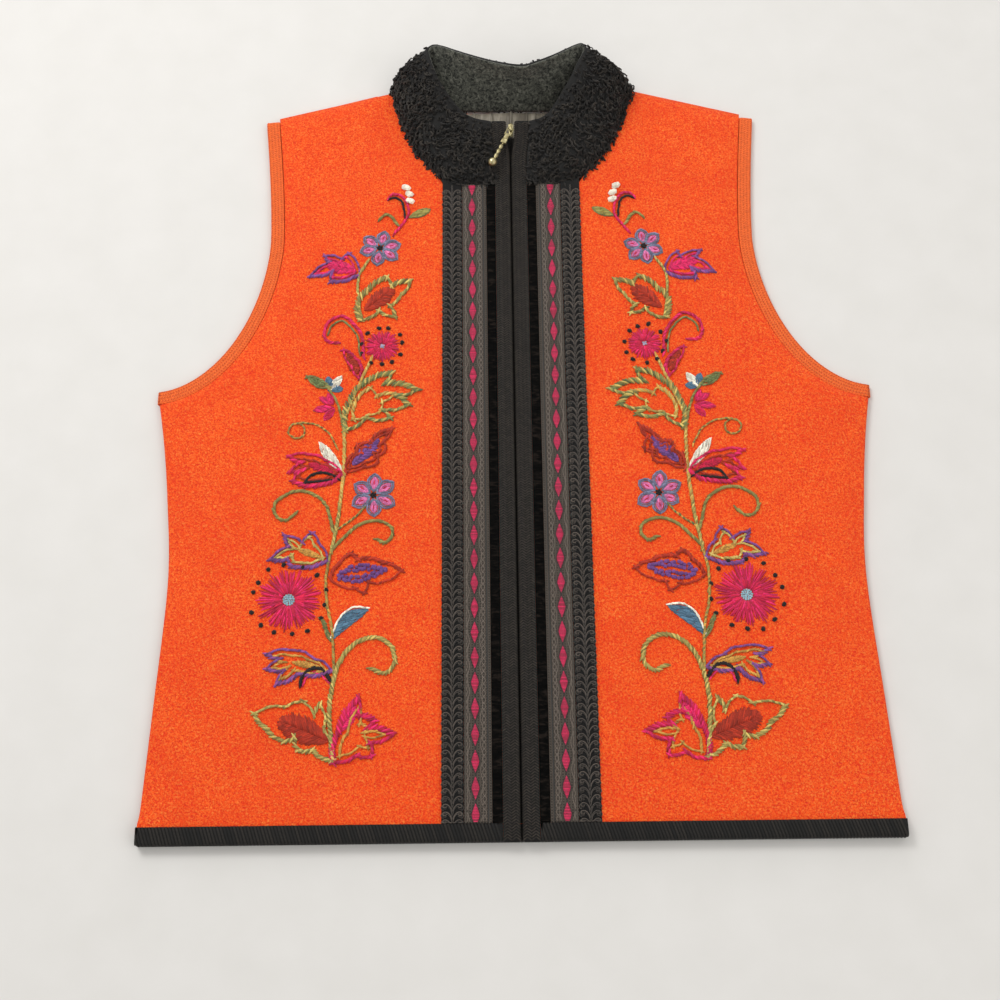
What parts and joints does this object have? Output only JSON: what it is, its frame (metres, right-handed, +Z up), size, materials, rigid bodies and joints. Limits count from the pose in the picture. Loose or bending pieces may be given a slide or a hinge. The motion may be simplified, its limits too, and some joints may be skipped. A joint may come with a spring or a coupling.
{
  "type": "embroidered wool vest",
  "caption": "Sleeveless boiled-wool zip vest laid flat, with embroidered flower vines, braid trims, bound edges and a curly pile stand collar.",
  "frame": {"origin": "centre of the laid vest's box, on the surface that it lies on", "axes": "+Z up from the surface, +Y from the hem to the collar, +X to the wearer's left"},
  "size_m": [0.514, 0.5992, 0.0421],
  "materials": {
    "boiled_wool": "matte felted",
    "band_knit": "matte knitted",
    "dark_braid": "matte woven",
    "black_velvet": "matte pile",
    "taupe_ribbon": "matte woven",
    "black_gimp": "satin cord",
    "curly_pile": "matte curled",
    "charcoal_fleece": "matte brushed",
    "taupe_satin": "satin",
    "zip_tape": "matte",
    "pale_brass": "satin"
  },
  "bodies": {
    "vest": {"back_panel": "boiled_wool", "front_panel_left": "boiled_wool", "front_panel_right": "boiled_wool", "armhole_band_left": "band_knit", "armhole_band_right": "band_knit", "zip_binding_left": "dark_braid", "zip_binding_right": "dark_braid", "hem_binding_front_left": "dark_braid", "hem_binding_front_right": "dark_braid", "hem_binding_back": "dark_braid", "velvet_ribbon_left": "black_velvet", "velvet_ribbon_right": "black_velvet", "woven_ribbon_left": "taupe_ribbon", "woven_ribbon_right": "taupe_ribbon", "gimp_braid_left": "black_gimp", "gimp_braid_right": "black_gimp", "collar_pile": "curly_pile", "collar_facing": "charcoal_fleece", "back_lining": "taupe_satin", "zip_chain": "zip_tape", "zip_slider": "pale_brass"},
    "pull": {"zip_pull": "pale_brass"}
  },
  "joints": [
    {"name": "pull_swing", "type": "hinge", "parent": "vest", "child": "pull", "pos_m": [0.0005, 0.23383, 0.0178], "axis": [-0.91, 0.4147, 0], "range_deg": [0, 120]}
  ]
}
